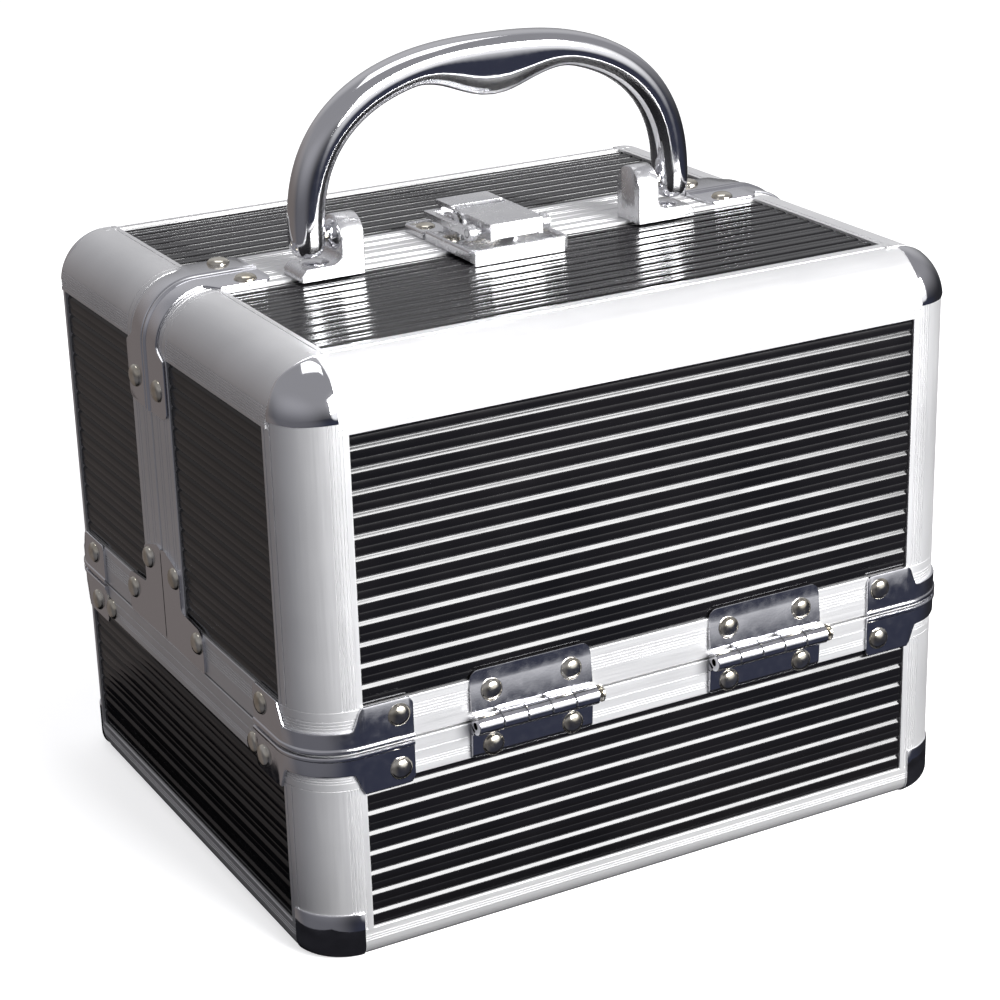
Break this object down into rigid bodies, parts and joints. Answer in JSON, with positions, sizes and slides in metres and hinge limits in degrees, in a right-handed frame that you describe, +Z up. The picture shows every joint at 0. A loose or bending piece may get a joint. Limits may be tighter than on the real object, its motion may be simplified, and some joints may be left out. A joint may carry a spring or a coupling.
{
  "type": "makeup train case",
  "caption": "Aluminium-framed cosmetics case with split lids that swing out, cantilever trays, a bail handle and a draw latch.",
  "frame": {"origin": "bottom centre of the case, on the plane it stands on", "axes": "+Z up; X along the long hinged faces; -Y is the front face that the picture shows, whose lid carries the handle"},
  "size_m": [0.2018, 0.175, 0.2177],
  "materials": {
    "board": "glossy black ridged plastic on board",
    "aluminium": "satin anodised extrusion with fine grooves",
    "chrome": "polished chrome plate",
    "nickel": "bright nickel",
    "steel": "zinc plated sheet",
    "tray": "matt black moulded"
  },
  "bodies": {
    "base": {"base_shell": "board", "base_rim": "aluminium", "base_frame": "aluminium", "foot_cap_front_left": "chrome", "foot_cap_front_right": "chrome", "foot_cap_back_left": "chrome", "foot_cap_back_right": "chrome", "hinge_leaf_front_left": "chrome", "hinge_leaf_front_right": "chrome", "hinge_leaf_back_left": "chrome", "hinge_leaf_back_right": "chrome", "hinge_pin_front_left": "nickel", "hinge_pin_front_right": "nickel", "hinge_pin_back_left": "nickel", "hinge_pin_back_right": "nickel"},
    "front_lid": {"front_lid_shell": "board", "front_lid_rim": "aluminium", "front_lid_frame": "aluminium", "front_lid_cap_left": "chrome", "front_lid_cap_right": "chrome", "front_lid_saddle_left": "chrome", "front_lid_saddle_right": "chrome", "front_lid_slot_plate_left": "steel", "front_lid_slot_plate_right": "steel", "front_lid_hinge_leaf_left": "chrome", "front_lid_hinge_leaf_right": "chrome", "handle_bracket_left": "chrome", "handle_bracket_right": "chrome", "handle_pin_left": "nickel", "handle_pin_right": "nickel", "latch_base": "chrome", "latch_pin": "nickel"},
    "back_lid": {"back_lid_shell": "board", "back_lid_rim": "aluminium", "back_lid_frame": "aluminium", "back_lid_cap_left": "chrome", "back_lid_cap_right": "chrome", "back_lid_saddle_left": "chrome", "back_lid_saddle_right": "chrome", "back_lid_slot_plate_left": "steel", "back_lid_slot_plate_right": "steel", "back_lid_hinge_leaf_left": "chrome", "back_lid_hinge_leaf_right": "chrome", "latch_keeper": "chrome"},
    "carry_handle": {"handle": "chrome"},
    "lever": {"latch_lever": "chrome"},
    "loop": {"latch_loop": "chrome"},
    "front_outer_arms": {"front_outer_arm_left": "steel", "front_outer_arm_right": "steel"},
    "front_inner_arms": {"front_inner_arm_left": "steel", "front_inner_arm_right": "steel"},
    "front_lower_tray_body": {"front_lower_tray": "tray"},
    "front_upper_tray_body": {"front_upper_tray": "tray"},
    "back_outer_arms": {"back_outer_arm_left": "steel", "back_outer_arm_right": "steel"},
    "back_inner_arms": {"back_inner_arm_left": "steel", "back_inner_arm_right": "steel"},
    "back_lower_tray_body": {"back_lower_tray": "tray"},
    "back_upper_tray_body": {"back_upper_tray": "tray"}
  },
  "joints": [
    {"name": "front_lid_hinge", "type": "hinge", "parent": "base", "child": "front_lid", "pos_m": [0, -0.0849, 0.0595], "axis": [1, 0, 0], "range_deg": [0, 100]},
    {"name": "back_lid_hinge", "type": "hinge", "parent": "base", "child": "back_lid", "pos_m": [0, 0.0849, 0.0595], "axis": [-1, 0, 0], "range_deg": [0, 100]},
    {"name": "handle_swing", "type": "hinge", "parent": "front_lid", "child": "carry_handle", "pos_m": [-0.0023, -0.0076, 0.1702], "axis": [1, 0, 0], "range_deg": [-90, 90]},
    {"name": "lever_lift", "type": "hinge", "parent": "front_lid", "child": "lever", "pos_m": [-0.0018, 0.0015, 0.1659], "axis": [-1, 0, 0], "range_deg": [0, 80]},
    {"name": "loop_swing", "type": "hinge", "parent": "lever", "child": "loop", "pos_m": [-0.0018, -0.0135, 0.1659], "axis": [-1, 0, 0], "range_deg": [-80, 0]},
    {"name": "front_outer_arms_turn", "type": "hinge", "parent": "base", "child": "front_outer_arms", "pos_m": [0, -0.062, 0.055], "axis": [1, 0, 0], "range_deg": [0, 73]},
    {"name": "front_inner_arms_turn", "type": "hinge", "parent": "base", "child": "front_inner_arms", "pos_m": [0, -0.045, 0.055], "axis": [1, 0, 0], "range_deg": [0, 73]},
    {"name": "front_lower_tray_level", "type": "hinge", "parent": "front_outer_arms", "child": "front_lower_tray_body", "pos_m": [0, -0.04348, 0.08352], "axis": [1, 0, 0], "range_deg": [-73, 0]},
    {"name": "front_upper_tray_level", "type": "hinge", "parent": "front_outer_arms", "child": "front_upper_tray_body", "pos_m": [0, -0.02388, 0.11371], "axis": [1, 0, 0], "range_deg": [-73, 0]},
    {"name": "back_outer_arms_turn", "type": "hinge", "parent": "base", "child": "back_outer_arms", "pos_m": [0, 0.062, 0.055], "axis": [-1, 0, 0], "range_deg": [0, 73]},
    {"name": "back_inner_arms_turn", "type": "hinge", "parent": "base", "child": "back_inner_arms", "pos_m": [0, 0.045, 0.055], "axis": [-1, 0, 0], "range_deg": [0, 73]},
    {"name": "back_lower_tray_level", "type": "hinge", "parent": "back_outer_arms", "child": "back_lower_tray_body", "pos_m": [0, 0.04348, 0.08352], "axis": [-1, 0, 0], "range_deg": [-73, 0]},
    {"name": "back_upper_tray_level", "type": "hinge", "parent": "back_outer_arms", "child": "back_upper_tray_body", "pos_m": [0, 0.02388, 0.11371], "axis": [-1, 0, 0], "range_deg": [-73, 0]}
  ],
  "couplings": [
    {"joint": "loop_swing", "follows": "lever_lift", "ratio": -1},
    {"joint": "front_outer_arms_turn", "follows": "front_lid_hinge", "ratio": 0.73},
    {"joint": "front_inner_arms_turn", "follows": "front_lid_hinge", "ratio": 0.73},
    {"joint": "front_lower_tray_level", "follows": "front_lid_hinge", "ratio": -0.73},
    {"joint": "front_upper_tray_level", "follows": "front_lid_hinge", "ratio": -0.73},
    {"joint": "back_outer_arms_turn", "follows": "back_lid_hinge", "ratio": 0.73},
    {"joint": "back_inner_arms_turn", "follows": "back_lid_hinge", "ratio": 0.73},
    {"joint": "back_lower_tray_level", "follows": "back_lid_hinge", "ratio": -0.73},
    {"joint": "back_upper_tray_level", "follows": "back_lid_hinge", "ratio": -0.73}
  ]
}
